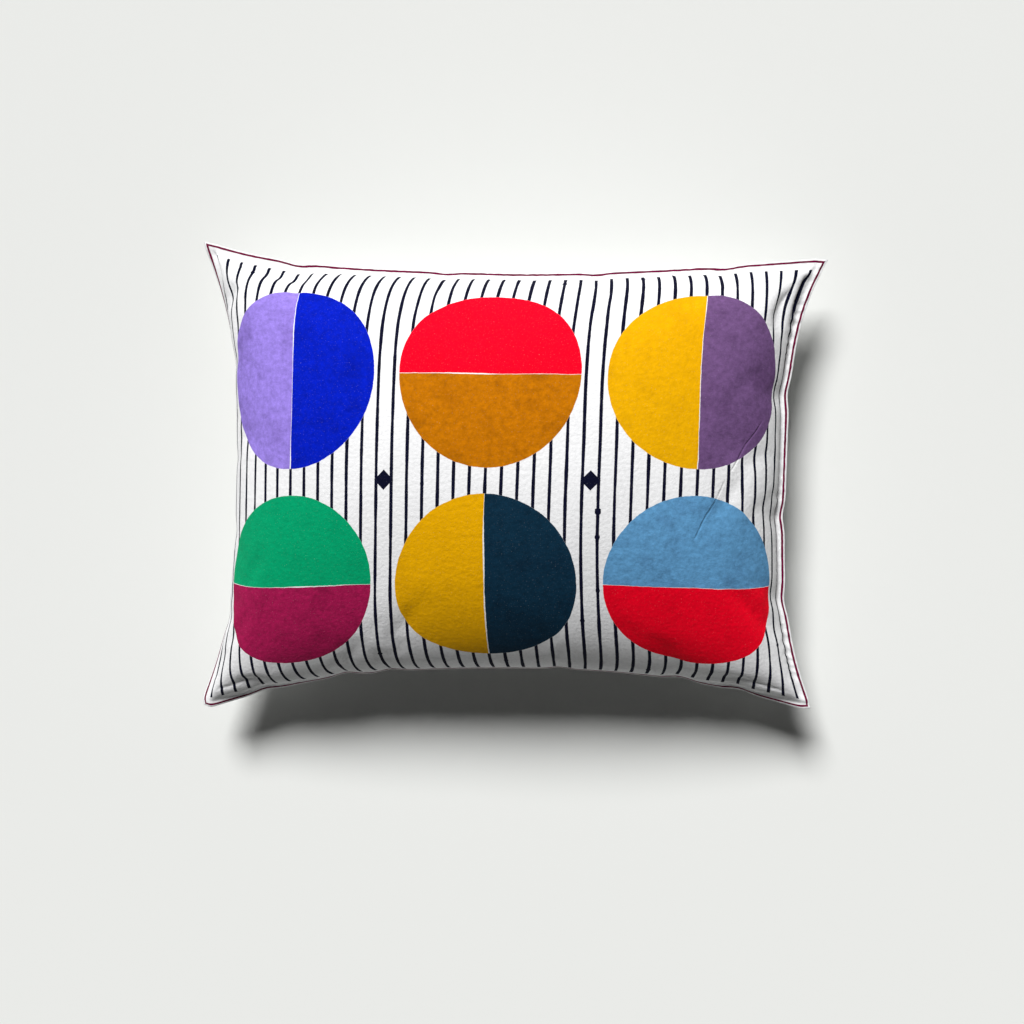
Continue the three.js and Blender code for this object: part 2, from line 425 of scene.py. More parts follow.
@cache
def split_discs() -> Effect:
    """A grid of printed discs, each split in two, by turns upright and level.

    Returns:
        A group that takes a Place from the grid's top left corner, with +X to the right and +Y down, the
        size of a Tile, the Radius of a disc and the Gap between its halves. It gives a mask of the Disc, one
        of its First half, which is the left or top one, one of its Second, and its tile's Column and Row.
    """
    made = Effect(
        "split_discs",
        {"Place": "Vector", "Tile": "Float", "Radius": "Float", "Gap": "Float"},
        {"Disc": "Float", "First": "Float", "Second": "Float", "Column": "Float", "Row": "Float"},
    )
    place, tile, radius, gap = (made.given[name] for name in ("Place", "Tile", "Radius", "Gap"))
    x, y = made.parts(place)
    columns, rows = made.math("DIVIDE", x, tile), made.math("DIVIDE", y, tile)
    column, row = made.math("FLOOR", columns), made.math("FLOOR", rows)
    beside = made.math("MULTIPLY", made.math("SUBTRACT", made.math("FRACT", columns), 0.5), tile)
    below = made.math("MULTIPLY", made.math("SUBTRACT", made.math("FRACT", rows), 0.5), tile)

    # The discs are cut and printed by hand, so they are never quite round or in line.
    uneven_scale, unevenness = 7.0, 0.0022
    fine_roughness, broad_roughness = 0.00026, 0.0005
    cut_softness = 0.0003
    elsewhere = made.vector("ADD", place, (0.7, 0.3, 0.0))
    beside = made.math("ADD", beside, made.swing(place, uneven_scale, unevenness))
    below = made.math("ADD", below, made.swing(elsewhere, uneven_scale, unevenness))
    fine, broad = made.swing(place, 800.0, fine_roughness), made.swing(place, 110.0, broad_roughness)
    rough = made.math("ADD", fine, broad)
    out = made.math("ADD", made.length(made.join(beside, below)), rough)
    disc = made.ramp(out, made.math("ADD", radius, SOFT_EDGE), made.math("SUBTRACT", radius, SOFT_EDGE))

    level = made.math("MODULO", made.math("ADD", column, row), 2.0)
    chosen = made.math(
        "ADD",
        made.math("MULTIPLY", beside, made.math("SUBTRACT", 1.0, level)),
        made.math("MULTIPLY", below, level),
    )
    across = made.math("ADD", chosen, rough)
    half_gap = made.math("MULTIPLY", gap, made.ramp(made.noise(place, 13.0), 0.40, 0.70))
    past = made.math("ADD", half_gap, cut_softness)
    second = made.ramp(across, half_gap, past)
    first = made.ramp(made.math("MULTIPLY", across, -1.0), half_gap, past)
    made.put(disc, made.result["Disc"])
    made.put(made.math("MULTIPLY", disc, first), made.result["First"])
    made.put(made.math("MULTIPLY", disc, second), made.result["Second"])
    made.put(column, made.result["Column"])
    made.put(row, made.result["Row"])
    return made


@cache
def printed_ink() -> Effect:
    """Ink printed on canvas: it lies in clouds, darker and lighter, and misses some threads.

    Returns:
        A group that takes the colour Under the ink, the Ink, a Mask, a Place in metres and a Mottle from 0
        to 1, and gives a Color and the Cover of ink.
    """
    made = Effect(
        "printed_ink",
        {"Under": "Color", "Ink": "Color", "Mask": "Float", "Place": "Vector", "Mottle": "Float"},
        {"Color": "Color", "Cover": "Float"},
    )
    under, ink, mask, place, mottle = (made.given[n] for n in ("Under", "Ink", "Mask", "Place", "Mottle"))
    cloud_shade = (0.58, 0.54, 0.58)
    cloud_scale, speckle_scale, missed_scale = 34.0, 170.0, 900.0
    most_missed = 0.14
    dark = made.vector("MULTIPLY", ink, cloud_shade)
    clouds = made.ramp(made.noise(place, cloud_scale, 6.0, 0.58), 0.46, 0.76)
    worn = made.mix(made.math("MULTIPLY", clouds, mottle), ink, dark)
    # Each thread takes up the ink a little differently.
    speckle = made.swing(made.vector("ADD", place, (1.3, 0.4, 0.0)), speckle_scale, mottle, 6.0, 0.72)
    worn = made.scaled(worn, made.math("ADD", speckle, 1.0))
    bare = made.ramp(made.noise(place, missed_scale, 2.0), 0.62, 0.82)
    missed = made.math("MULTIPLY", bare, most_missed)
    cover = made.math("MULTIPLY", mask, made.math("SUBTRACT", 1.0, missed))
    made.put(made.mix(cover, under, worn), made.result["Color"])
    made.put(cover, made.result["Cover"])
    return made


@dataclass(frozen=True)
class PressedLine:
    """A thin crease, pressed into the cloth while it lay folded. It wanders a little from straight.

    Attributes:
        start: Where it starts on the flat panel.
        end: Where it ends.
    """

    start: tuple[float, float]
    end: tuple[float, float]


@cache
def pressed_crease() -> Effect:
    """A thin crease between two places on a panel.

    Returns:
        A group that takes a Place, the crease's Start and End and its Width in metres, and gives its Depth
        from 0 to 1.
    """
    made = Effect(
        "pressed_crease",
        {"Place": "Vector", "Start": "Vector", "End": "Vector", "Width": "Float"},
        {"Depth": "Float"},
    )
    stray, end_fade = 0.0022, 0.6
    place, start, end, width = (made.given[name] for name in ("Place", "Start", "End", "Width"))
    off_line = made.join(made.swing(place, 45.0, stray), made.swing(place, 31.0, stray))
    strayed = made.vector("ADD", place, off_line)
    way = made.vector("SUBTRACT", end, start)
    offset = made.vector("SUBTRACT", strayed, start)
    share = made.math("DIVIDE", made.dot(offset, way), made.dot(way, way))
    held = made.math("MINIMUM", made.math("MAXIMUM", share, 0.0), 1.0)
    nearest = made.scaled(way, held)
    distance = made.length(made.vector("SUBTRACT", offset, nearest))
    # From 0 at the crease's ends to 1 in its middle.
    from_ends = made.math("MULTIPLY", made.math("MULTIPLY", held, made.math("SUBTRACT", 1.0, held)), 4.0)
    worn = made.ramp(made.noise(place, 60.0), 0.25, 0.55)
    strength = made.math("MULTIPLY", made.ramp(from_ends, 0.0, end_fade), worn)
    made.put(made.math("MULTIPLY", made.ramp(distance, width, 0.0), strength), made.result["Depth"])
    return made


@dataclass(frozen=True)
class DiscPrint:
    """The print of the front panel: rows of split discs on ruled lines, inside a plain border.

    Attributes:
        columns: How many discs stand in a row.
        tile: The side of the square that each disc stands in.
        radius: The radius of a disc.
        gap: The widest gap between a disc's halves.
        lines_per_tile: How many ruled lines cross a tile.
        margin: How far the ruled lines run on past the tiles at their ends.
        raggedness: How uneven those ends are.
        past_last: How far past the tiles the ruled lines reach sideways, as a share of their pitch.
        line: The thickness of a ruled line.
        wobble: How far a ruled line strays from straight.
        lozenge: Half the width of the dark lozenge where four tiles meet.
        edge_line: The thickness of the line that runs round the border.
        edge_inset: How far inside the seam that line runs.
        edge_wobble: How far that line strays from straight.
        inks: The inks of each disc, by row from the top: its left or top half, then the other.
    """

    columns: int = 3
    tile: float = 0.187
    radius: float = 0.082
    gap: float = 0.0005
    lines_per_tile: int = 13
    margin: float = 0.026
    raggedness: float = 0.0016
    past_last: float = 0.8
    line: float = 0.0030
    wobble: float = 0.0008
    lozenge: float = 0.009
    edge_line: float = 0.0022
    edge_inset: float = 0.0032
    edge_wobble: float = 0.0004
    inks: tuple[tuple[tuple[Ink, Ink], ...], ...] = (
        ((Ink.LILAC, Ink.BLUE), (Ink.RED, Ink.OCHRE), (Ink.YELLOW, Ink.PLUM)),
        ((Ink.GREEN, Ink.MAROON), (Ink.YELLOW, Ink.NAVY), (Ink.STEEL, Ink.RED)),
    )

    def ink_of(self, graph: Graph, number: Socket, half: int) -> tuple[Socket, Socket]:
        """Picks the ink of one half of each disc.

        Args:
            graph: The material's nodes.
            number: The disc's number, along the rows from the top left.
            half: 0 for the first half, 1 for the second.

        Returns:
            The ink's colour and its mottle.
        """
        chosen = graph.tree.nodes.new("ShaderNodeValToRGB")
        chosen.color_ramp.interpolation = "CONSTANT"
        stops = chosen.color_ramp.elements
        pairs = [pair for row in self.inks for pair in row]
        for at, pair in enumerate(pairs):
            stop = stops[at] if at < len(stops) else stops.new(1.0)
            stop.position = at / len(pairs)
            stop.color = pair[half].linear
        share = graph.math("DIVIDE", graph.math("ADD", number, 0.5), len(pairs))
        graph.put(share, chosen.inputs["Fac"])
        return chosen.outputs["Color"], chosen.outputs["Alpha"]

    def printed(
        self, graph: Graph, place: Socket, ground: Value, panel: tuple[float, float]
    ) -> tuple[Socket, Socket]:
        """Prints the design on a ground colour.

        Args:
            graph: The material's nodes.
            place: The flat place on the panel.
            ground: The colour of the unprinted cloth.
            panel: The panel's width and height.

        Returns:
            The printed colour, and how much ink covers the cloth.
        """
        wide, high = self.columns * self.tile, len(self.inks) * self.tile
        x, y = graph.parts(place)
        from_left = graph.math("ADD", x, wide / 2)
        from_top = graph.math("SUBTRACT", high / 2, y)
        grid_place = graph.join(from_left, from_top)

        pitch = self.tile / self.lines_per_tile
        ends = graph.swing(graph.join(graph.math("MULTIPLY", x, 6.0), 0.0), 11.0, self.raggedness)
        past_end = graph.math("SUBTRACT", graph.math("ABSOLUTE", y), high / 2 + self.margin)
        past_end = graph.math("ADD", past_end, ends)
        past_side = graph.math("SUBTRACT", graph.math("ABSOLUTE", x), wide / 2 + pitch * self.past_last)
        past = graph.math("MAXIMUM", past_end, past_side)
        field = graph.ramp(past, SOFT_EDGE, -SOFT_EDGE)

        lines = graph.place(ruled_lines(), Place=place, Pitch=pitch, Thickness=self.line, Wobble=self.wobble)
        to_corner = []
        for part in (from_left, from_top):
            from_middle = graph.math("SUBTRACT", graph.math("MODULO", part, self.tile), self.tile / 2)
            to_corner.append(graph.math("SUBTRACT", self.tile / 2, graph.math("ABSOLUTE", from_middle)))
        from_corner = graph.math("ADD", *to_corner)
        lozenge = graph.ramp(from_corner, self.lozenge + SOFT_EDGE, self.lozenge - SOFT_EDGE)
        # A lozenge stands only where four tiles meet, inside the field.
        inner = graph.ramp(past, -self.tile / 3, -self.tile / 2)
        lozenge = graph.math("MULTIPLY", lozenge, inner)
        dark = graph.math("MULTIPLY", graph.math("MAXIMUM", lines["Mask"], lozenge), field)

        discs = graph.place(split_discs(), Place=grid_place, Tile=self.tile, Radius=self.radius, Gap=self.gap)
        number = graph.math("MULTIPLY_ADD", discs["Row"], float(self.columns), discs["Column"])
        past_tiles = [
            graph.math("SUBTRACT", graph.math("ABSOLUTE", part), size / 2)
            for part, size in ((x, wide), (y, high))
        ]
        tiled = graph.ramp(graph.math("MAXIMUM", *past_tiles), SOFT_EDGE, -SOFT_EDGE)
        in_seam = [
            graph.math("SUBTRACT", size / 2 - self.edge_inset, graph.math("ABSOLUTE", part))
            for size, part in zip(panel, (x, y))
        ]
        edge = graph.math("ABSOLUTE", graph.math("MINIMUM", *in_seam))
        edge = graph.math("ADD", edge, graph.swing(place, 120.0, self.edge_wobble))
        edge_mask = graph.ramp(edge, self.edge_line / 2 + SOFT_EDGE, self.edge_line / 2 - SOFT_EDGE)

        off_discs = graph.math("SUBTRACT", 1.0, graph.math("MULTIPLY", discs["Disc"], tiled))
        layers = (
            (Ink.BORDER.linear, Ink.BORDER.mottle, edge_mask),
            (Ink.LINE.linear, Ink.LINE.mottle, graph.math("MULTIPLY", dark, off_discs)),
            (*self.ink_of(graph, number, 0), graph.math("MULTIPLY", discs["First"], tiled)),
            (*self.ink_of(graph, number, 1), graph.math("MULTIPLY", discs["Second"], tiled)),
        )
        colour, cover = ground, 0.0
        for ink, mottle, mask in layers:
            laid = graph.place(printed_ink(), Under=colour, Ink=ink, Mask=mask, Place=place, Mottle=mottle)
            colour, cover = laid["Color"], graph.math("MAXIMUM", laid["Cover"], cover)
        return colour, cover


@dataclass(frozen=True)
class CottonCanvas:
    """The finish of the cover's cotton canvas.

    Attributes:
        ground: The colour of the unprinted cloth, as a screen colour.
        uneven_ground: How much darker the unprinted cloth gets where it is most uneven.
        soiled: How much of that comes in broad patches.
        fluffed: How much of it comes in small ones.
        pitch: How far apart the threads lie.
        slub: How uneven the threads are.
        relief: How far a thread stands above the gaps beside it.
        relief_strength: How strongly that relief shows.
        gap_shade: How much darker the gaps between the threads are.
        shade: What a colour is multiplied by in full shade.
        shade_depth: How much darker that is, all in all.
        roughness: The roughness of the bare cloth, in the gaps between its threads.
        thread_polish: How much less rough the tops of the threads are.
        ink_roughness: The roughness of the printed cloth.
        sheen: The strength of the cloth's soft sheen.
        specular: How strongly the cloth's surface shines, where 0.5 is plastic.
        unevenness: How far the slack of the cloth makes it swell between one small patch and the next.
        crease_width: How wide a pressed crease is.
        crease_depth: How deep it is.
        crease_shade: How much darker it is.
    """

    ground: tuple[int, int, int] = (240, 240, 241)
    uneven_ground: float = 0.10
    soiled: float = 0.4
    fluffed: float = 0.8
    pitch: float = 0.0010
    slub: float = 0.22
    relief: float = 0.00035
    relief_strength: float = 0.55
    gap_shade: float = 0.14
    shade: Colour = (0.62, 0.60, 0.60)
    shade_depth: float = 0.39
    roughness: float = 0.92
    thread_polish: float = 0.06
    ink_roughness: float = 0.78
    sheen: float = 0.01
    specular: float = 0.04
    unevenness: float = 0.00045
    crease_width: float = 0.0015
    crease_depth: float = 0.0005
    crease_shade: float = 0.10

    def creases(self, graph: Graph, place: Socket, lines: Sequence[PressedLine]) -> Value:
        """Presses the creases into the cloth.

        Args:
            graph: The material's nodes.
            place: The flat place on the panel.
            lines: The creases.

        Returns:
            How deep they are at the place, from 0 to 1.
        """
        depth = 0.0
        for line in lines:
            ends = {"Start": (*line.start, 0.0), "End": (*line.end, 0.0)}
            crease = graph.place(pressed_crease(), Place=place, Width=self.crease_width, **ends)
            depth = graph.math("MAXIMUM", depth, crease["Depth"])
        return depth

    def dress(
        self,
        name: str,
        panel: tuple[float, float],
        design: DiscPrint | None = None,
        pressed: Sequence[PressedLine] = (),
    ) -> bpy.types.Material:
        """Makes the material of a panel.

        Args:
            name: The material's name.
            panel: The panel's width and height.
            design: What is printed on it, if anything.
            pressed: The creases pressed into it.

        Returns:
            The material.
        """
        material = bpy.data.materials.new(name)
        material.use_nodes = True
        graph = Graph(material.node_tree)
        surface = material.node_tree.nodes["Principled BSDF"]
        place = graph.node("UVMap", {}, uv_map=PANEL_MAP).outputs["UV"]
        weave = graph.place(canvas_weave(), Place=place, Pitch=self.pitch, Slub=self.slub)
        soiled = graph.math("MULTIPLY", graph.ramp(graph.noise(place, 14.0, 5.0), 0.42, 0.70), self.soiled)
        fluffed = graph.math("MULTIPLY", graph.ramp(graph.noise(place, 360.0, 4.0), 0.35, 0.75), self.fluffed)
        clean = linear(*self.ground)
        dull = tuple(channel * (1.0 - self.uneven_ground) for channel in clean)
        ground = graph.mix(graph.math("ADD", soiled, fluffed), (*clean, 1.0), (*dull, 1.0))
        if design:
            colour, cover = design.printed(graph, place, ground, panel)
            rough = graph.math("MULTIPLY_ADD", cover, self.ink_roughness - self.roughness, self.roughness)
        else:
            colour = ground
            rough = graph.math("MULTIPLY_ADD", weave["Height"], -self.thread_polish, self.roughness)
        shaded = graph.vector("MULTIPLY", colour, self.shade)
        crease = self.creases(graph, place, pressed)
        in_gap = graph.math("MULTIPLY", weave["Gap"], self.gap_shade / self.shade_depth)
        in_crease = graph.math("MULTIPLY", crease, self.crease_shade / self.shade_depth)
        shade = graph.math("ADD", in_gap, in_crease)
        colour = graph.mix(shade, colour, shaded)
        graph.put(colour, surface.inputs["Base Color"])
        graph.put(rough, surface.inputs["Roughness"])
        sunk = graph.math("MULTIPLY", crease, -self.crease_depth)
        slack = graph.math("MULTIPLY_ADD", graph.noise(place, 300.0, 3.0), self.unevenness, sunk)
        folded = {"Strength": 1.0, "Distance": 1.0, "Height": slack}
        relief = {"Strength": self.relief_strength, "Distance": self.relief, "Height": weave["Height"]}
        relief["Normal"] = graph.node("Bump", folded).outputs["Normal"]
        graph.put(graph.node("Bump", relief).outputs["Normal"], surface.inputs["Normal"])
        surface.inputs["Sheen Weight"].default_value = self.sheen
        surface.inputs["Sheen Roughness"].default_value = 0.5
        surface.inputs["Specular IOR Level"].default_value = self.specular
        return material


@dataclass(frozen=True)
class Corner:
    """A tip of the filled cover.

    Attributes:
        x: Where the tip is along the long side.
        y: Where the tip is along the short side.
        droop: How far the tip hangs below the middle of the seam.
        blunt: How much the turned-out tip is rounded off.
    """

    x: float
    y: float
    droop: float
    blunt: float


@dataclass(frozen=True)
class Side:
    """A seam between two tips, drawn in by the filling.

    Attributes:
        start: The name of the left or bottom tip.
        end: The name of the right or top tip.
        inward: The way that the filling draws the seam.
        draw_in: How far the seam's middle is drawn in.
        start_power: How sharply the start turns out.
        end_power: How sharply the end turns out.
        turn: How steeply the flat edge along the seam hangs down in the side's middle, in degrees.
    """

    start: str
    end: str
    inward: tuple[float, float]
    draw_in: float
    start_power: float
    end_power: float
    turn: float


# Shares of a trough's length: how long it stays at its full depth.
TROUGH_START = 0.1
# Shares of a crease's length: where it reaches its full depth, and where it starts to fade.
CREASE_START = 0.15
CREASE_FADE = 0.35


@dataclass(frozen=True)
class Trough:
    """A pucker or fold in the flat panel, deepest at its start and gone at its end.

    Attributes:
        x: Where it starts along the long side.
        y: Where it starts along the short side.
        to_x: Where it ends along the long side.
        to_y: Where it ends along the short side.
        width: How far it reaches to either side.
        depth: How deep it is at its start.
    """

    x: float
    y: float
    to_x: float
    to_y: float
    width: float
    depth: float

    def depth_at(self, place: Points) -> Points:
        """How deep the trough is at each place of the flat panel.

        Args:
            place: Flat panel places, a row each.

        Returns:
            A depth for each row.
        """
        way = np.array([self.to_x - self.x, self.to_y - self.y])
        length = float(np.hypot(*way))
        offset = place[:, :2] - (self.x, self.y)
        along = offset @ way / length**2
        beside = (offset[:, 0] * way[1] - offset[:, 1] * way[0]) / length
        past = np.maximum(0.0, np.maximum(-along, along - 1.0)) * length
        fade = 1.0 - smooth_step(along, TROUGH_START, 1.0)
        return self.depth * fade * bump(beside, self.width) * bump(past, self.width)

    def fold_at(self, place: Points) -> Points:
        """As depth_at, for a fold that is deepest in its middle.

        Args:
            place: Flat panel places, a row each.

        Returns:
            A depth for each row.
        """
        middle = ((self.x + self.to_x) / 2, (self.y + self.to_y) / 2)
        forward = Trough(*middle, self.to_x, self.to_y, self.width, self.depth)
        backward = Trough(*middle, self.x, self.y, self.width, self.depth)
        return np.maximum(forward.depth_at(place), backward.depth_at(place))


@dataclass(frozen=True)
class Crease(Trough):
    """A sharp little fold, deepest near its start, with steep sides that meet in a line."""

    def depth_at(self, place: Points) -> Points:
        """How deep the crease is at each place of the flat panel.

        Args:
            place: Flat panel places, a row each.

        Returns:
            A depth for each row.
        """
        way = np.array([self.to_x - self.x, self.to_y - self.y])
        length = float(np.hypot(*way))
        offset = place[:, :2] - (self.x, self.y)
        along = offset @ way / length**2
        beside = np.abs(offset[:, 0] * way[1] - offset[:, 1] * way[0]) / length
        fade = smooth_step(along, 0.0, CREASE_START) * (1.0 - smooth_step(along, CREASE_FADE, 1.0))
        return self.depth * fade * np.exp(-beside / self.width)


@dataclass(frozen=True)
class Lump:
    """A soft rise or hollow of the filling, on the flat panel.

    Attributes:
        x: Where its middle is along the long side.
        y: Where its middle is along the short side.
        reach: How far it reaches.
        rise: How far it rises, or sinks where that is under 0.
    """

    x: float
    y: float
    reach: float
    rise: float


CORNERS = {
    "top_left": Corner(-0.294, 0.232, 0.008, 0.002),
    "top_right": Corner(0.2995, 0.208, 0.016, 0.003),
    "bottom_right": Corner(0.291, -0.2135, 0.014, 0.006),
    "bottom_left": Corner(-0.308, -0.229, 0.012, 0.01),
}
# How far from a tip its rounding reaches.
TIP_REACH = 0.010
# Powers by which a side's or a tip's own form fades out along the panel.
TIP_FADE = 4
DROOP_FADE = 3
# The powers of the roll at the left and right sides, of the crowding of the grid, and of the way outwards.
ROLL_POWER = 8
CROWDING_POWER = 4
OUTWARD_POWER = 5

SIDES = {
    "top": Side("top_left", "top_right", (0, -1), 0.0235, 4.0, 1.5, 0),
    "bottom": Side("bottom_left", "bottom_right", (0, 1), 0.0395, 2.4, 2.3, 60),
    "left": Side("bottom_left", "top_left", (1, 0), 0.0335, 2.6, 2.7, 75),
    "right": Side("bottom_right", "top_right", (-1, 0), 0.034, 3.0, 3.8, 0),
}

LUMPS = (
    Lump(-0.150, 0.060, 0.090, 0.003),
    Lump(0.120, -0.070, 0.080, 0.003),
    Lump(0.215, 0.040, 0.060, -0.004),
    Lump(-0.060, -0.120, 0.070, -0.003),
    Lump(0.040, 0.120, 0.070, 0.002),
)

# Puckers that both panels share. Each starts on the seam.
PUCKERS = (
    Trough(-0.205, 0.225, -0.190, 0.176, 0.012, 0.0025),
    Trough(-0.058, 0.225, -0.062, 0.190, 0.010, 0.0015),
    Trough(0.084, 0.225, 0.088, 0.188, 0.010, 0.0015),
    Trough(0.205, 0.225, 0.196, 0.184, 0.011, 0.0020),
    Trough(0.300, 0.092, 0.254, 0.082, 0.012, 0.0025),
    Trough(0.300, -0.028, 0.262, -0.036, 0.010, 0.0025),
    Trough(0.300, -0.112, 0.258, -0.098, 0.012, 0.0025),
    Trough(0.232, -0.225, 0.212, -0.180, 0.011, 0.0030),
    Trough(0.176, -0.225, 0.160, -0.172, 0.012, 0.0030),
    Trough(0.060, -0.225, 0.062, -0.188, 0.010, 0.0020),
    Trough(-0.104, -0.225, -0.096, -0.176, 0.011, 0.0025),
    Trough(-0.150, -0.225, -0.132, -0.164, 0.012, 0.0035),
    Trough(-0.232, -0.225, -0.216, -0.186, 0.011, 0.0025),
    Trough(-0.300, -0.132, -0.256, -0.118, 0.013, 0.0025),
    Trough(-0.300, -0.048, -0.262, -0.046, 0.010, 0.0025),
    Trough(-0.300, 0.018, -0.266, 0.022, 0.011, 0.0015),
    Trough(-0.300, 0.112, -0.258, 0.104, 0.012, 0.0020),
)

# Folds that lie in the printed panel alone, clear of the seam.
FRONT_FOLDS = (
    Trough(-0.276, 0.198, -0.150, 0.204, 0.009, 0.0060),
    Trough(-0.284, 0.156, -0.258, 0.190, 0.009, 0.0060),
    Trough(0.270, 0.208, 0.262, 0.128, 0.011, 0.0090),
    Trough(0.148, -0.204, 0.278, -0.200, 0.010, 0.0050),
    Trough(-0.274, -0.196, -0.214, -0.204, 0.010, 0.0050),
    Trough(0.258, 0.044, 0.176, -0.062, 0.007, 0.0020),
)
SEAM_CLEAR = 0.014
# How far from the seam the cloth's own folds start and are full, in widths of the flat edge.
FOLDS_FROM = 0.8
FOLDS_FULL = 2.2
# How far from the seam the ripples are full where that edge hangs down, in the same widths.
RIPPLES_FULL = 2.3

# How the ripples vary along the seam, as waves: by height, turn in a metre and start.
RIPPLE_STRAY = ((0.42, 61.0, 0.0), (0.27, 143.0, 1.3))
RIPPLE_STRENGTH = ((0.30, 37.0, 2.1), (0.15, 97.0, 0.0))
RIPPLE_SPREAD = ((0.25, 83.0, 0.7),)
# How far the top and the right side's ripples are shifted against those of the side across from them.
TOP_SHIFT = 0.31
RIGHT_SHIFT = 0.17

# Sharp little folds of the printed panel, at its turned-out corners. Each is deepest at its start.
CREASES = (
    Crease(-0.292, 0.219, -0.287, 0.172, 0.0030, 0.0024),
    Crease(-0.290, 0.214, -0.150, 0.2135, 0.0020, 0.0016),
    Crease(-0.278, 0.204, -0.185, 0.2055, 0.0018, 0.0012),
    Crease(-0.262, 0.186, -0.240, 0.150, 0.0022, 0.0012),
    Crease(0.286, 0.210, 0.285, 0.142, 0.0026, 0.0040),
    Crease(0.276, 0.200, 0.262, 0.160, 0.0022, 0.0016),
    Crease(0.280, -0.206, 0.205, -0.196, 0.0022, 0.0014),
    Crease(0.284, -0.196, 0.270, -0.150, 0.0020, 0.0010),
    Crease(-0.284, -0.204, -0.210, -0.196, 0.0022, 0.0014),
    Crease(-0.288, -0.196, -0.284, -0.140, 0.0020, 0.0012),
)

# Thin creases from the time when the cover lay folded.
PRESSED_LINES = (
    PressedLine((0.252, 0.062), (0.212, 0.004)),
    PressedLine((0.214, 0.006), (0.184, -0.052)),
)


@dataclass
class Cover:
    """The filled cotton cover: two panels sewn edge to edge, blown up by its filling.

    Attributes:
        width: The long side of a panel between its seams.
        height: The short side of a panel between its seams.
        front_crown: How far the filling lifts the printed panel above the seam.
        back_crown: How far it pushes the back panel below the seam.
        pressed_flat: How much of the back crown the cushion's weight presses flat.
        crown_power: 0.5 gives a round crown and 1 a flat lens.
        roll_across: How much of a panel is used up on the steep left and right sides.
        roll_up: How much of it is used up on the steep top and bottom sides.
        edge_width: How much of each panel's edge the seam allowance inside holds nearly flat.
        edge_lift: Half the thickness of that flat edge.
        lift_reach: How far from the seam the edge is that thick.
        columns: How many cells of cloth a panel has along its long side.
        rows: How many it has along its short side.
        crowding: How much smaller the cells get towards the edge.
        spare: How much larger the cloth is cut than the filled shape needs.
        frames: How many steps the cloth is given to settle.
        pressure: How hard the filling pushes.
        stretch_stiffness: How much the cloth resists being stretched or pressed together.
        shear_stiffness: How much it resists being pulled askew.
        bending_stiffness: How much it resists being bent.
        quality: How many times each step of the cloth is split.
        cell_mass: The weight that each point of the cloth is given.
        stretch_damping: How soon stretching dies down.
        bending_damping: How soon bending dies down.
        air_damping: How much the air slows the cloth.
        drift_reach: Forms of the settled cloth that reach over more cells than this count as drift, and
            smaller ones as folds.
        most_moved: The furthest that the cloth may go from the shape it starts in.
        fold_share: How much of the folds that the cloth finds is kept.
        floor_ease: How softly the back turns up from the floor.
        ripple_pitch: How far apart the seam's small ripples stand, where the stitches draw the cloth up.
        ripple: How far a ripple stands above its neighbours.
        ripple_reach: How far from the seam the ripples run out.
        fill: Not used. It would give how full the filling makes the cover, from 0 to 1.
    """

    width: float = 0.600
    height: float = 0.450
    front_crown: float = 0.094
    back_crown: float = 0.082
    pressed_flat: float = 0.009
    crown_power: float = 0.5
    roll_across: float = 0.12
    roll_up: float = 0.18
    edge_width: float = 0.009
    edge_lift: float = 0.0014
    lift_reach: float = 0.004
    columns: int = 120
    rows: int = 90
    crowding: float = 0.25
    spare: float = 1.03
    frames: int = 24
    pressure: float = 6.0
    stretch_stiffness: float = 40.0
    shear_stiffness: float = 8.0
    bending_stiffness: float = 0.6
    quality: int = 6
    cell_mass: float = 0.3
    stretch_damping: float = 8.0
    bending_damping: float = 0.5
    air_damping: float = 4.0
    drift_reach: float = 7.0
    most_moved: float = 0.016
    fold_share: float = 0.55
    floor_ease: float = 0.006
    ripple_pitch: float = 0.0115
    ripple: float = 0.0016
    ripple_reach: float = 0.026
    fill: float = 0.8

    def seam_point(self, name: str, t: Points) -> Points:
        """Where a seam runs in plan.

        Args:
            name: The side's name.
            t: Places along it, from -1 at its start to 1 at its end.

        Returns:
            A row of x and y for each place.
        """
        side = SIDES[name]
        start, end = CORNERS[side.start], CORNERS[side.end]
        share = ((t + 1) / 2)[:, None]
        power = np.where(t < 0, side.start_power, side.end_power)
        pulled = side.draw_in * (1 - np.abs(t) ** power)
        straight = np.array([start.x, start.y]) * (1 - share) + np.array([end.x, end.y]) * share
        return straight + pulled[:, None] * np.array(side.inward)

    def plan_point(self, across: Points, up: Points) -> Points:
        """The plan of the cover: a patch stretched between its four seams.

        Args:
            across: Shares along the long side, from -1 to 1.
            up: Shares along the short side, from -1 to 1.

        Returns:
            A row of x and y for each pair.
        """
        right, top = ((across + 1) / 2)[:, None], ((up + 1) / 2)[:, None]
        tip = {name: np.array([corner.x, corner.y]) for name, corner in CORNERS.items()}
        low = tip["bottom_left"] * (1 - right) + tip["bottom_right"] * right
        high = tip["top_left"] * (1 - right) + tip["top_right"] * right
        level = self.seam_point("bottom", across) * (1 - top) + self.seam_point("top", across) * top
        upright = self.seam_point("left", up) * (1 - right) + self.seam_point("right", up) * right
        return level + upright - (low * (1 - top) + high * top)

    def from_tips(self, across: Points, up: Points, what: str) -> Points:
        """Fades the tips' values out along the cushion.

        Args:
            across: Shares along the long side, from -1 to 1.
            up: Shares along the short side, from -1 to 1.
            what: The name of the value, which each tip has in full.

        Returns:
            The value for each pair.
        """
        signs = {"top_left": (-1, 1), "top_right": (1, 1), "bottom_right": (1, -1), "bottom_left": (-1, -1)}
        total = np.zeros_like(across)
        for name, (along_x, along_y) in signs.items():
            share = (((1 + along_x * across) / 2) * ((1 + along_y * up) / 2)) ** DROOP_FADE
            total += getattr(CORNERS[name], what) * share
        return total

